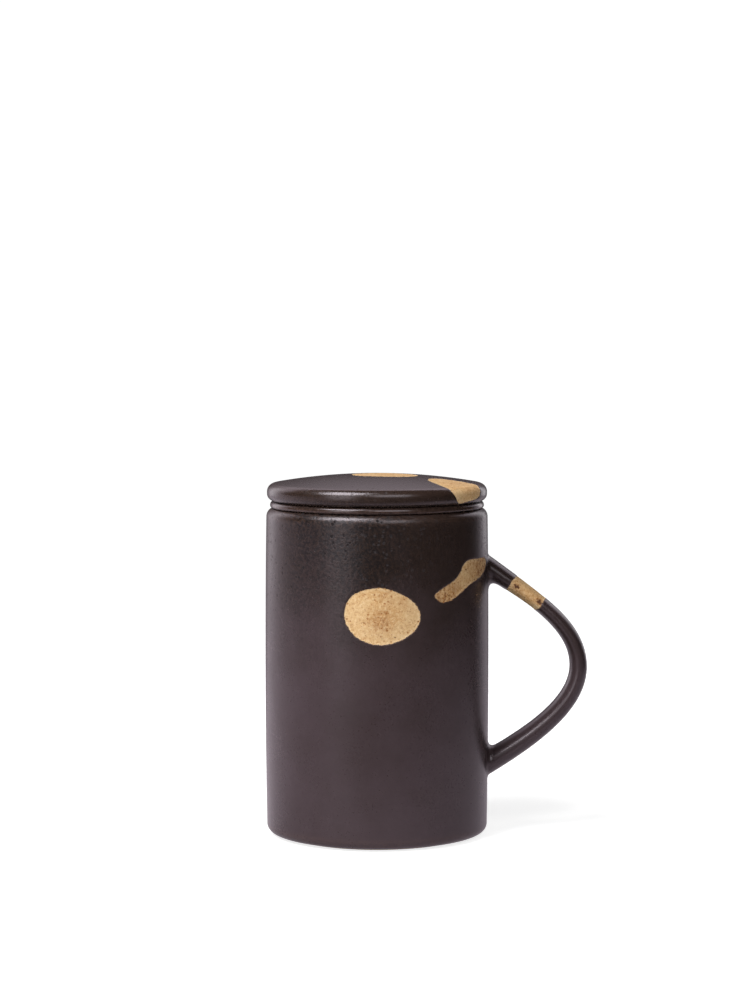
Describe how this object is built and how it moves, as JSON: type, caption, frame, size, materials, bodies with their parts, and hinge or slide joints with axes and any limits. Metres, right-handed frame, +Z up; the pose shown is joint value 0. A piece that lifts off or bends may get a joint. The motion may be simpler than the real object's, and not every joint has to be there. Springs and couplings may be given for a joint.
{
  "type": "tea mug with infuser",
  "caption": "Straight stoneware tea mug with a loop handle, a lift-out perforated infuser hung on its lip and a loose, shallow domed lid.",
  "frame": {"origin": "on the mug's axis, in the plane of its foot", "axes": "+Z up along the mug's axis, +X towards the handle, -Y the face seen with the handle on the right"},
  "size_m": [0.1168, 0.081, 0.1308],
  "materials": {
    "dark_glaze": "satin, almost black aubergine-brown glaze with spots of bare tan clay"
  },
  "bodies": {
    "mug": {"mug_body": "dark_glaze", "mug_handle": "dark_glaze"},
    "infuser": {"infuser_basket": "dark_glaze"},
    "lid": {"lid": "dark_glaze"}
  },
  "joints": [
    {"name": "infuser_lift", "type": "slide", "parent": "mug", "child": "infuser", "axis": [0, 0, 1], "range_m": [0, 0.1]},
    {"name": "lid_lift", "type": "slide", "parent": "infuser", "child": "lid", "axis": [0, 0, 1], "range_m": [0, 0.06]}
  ]
}
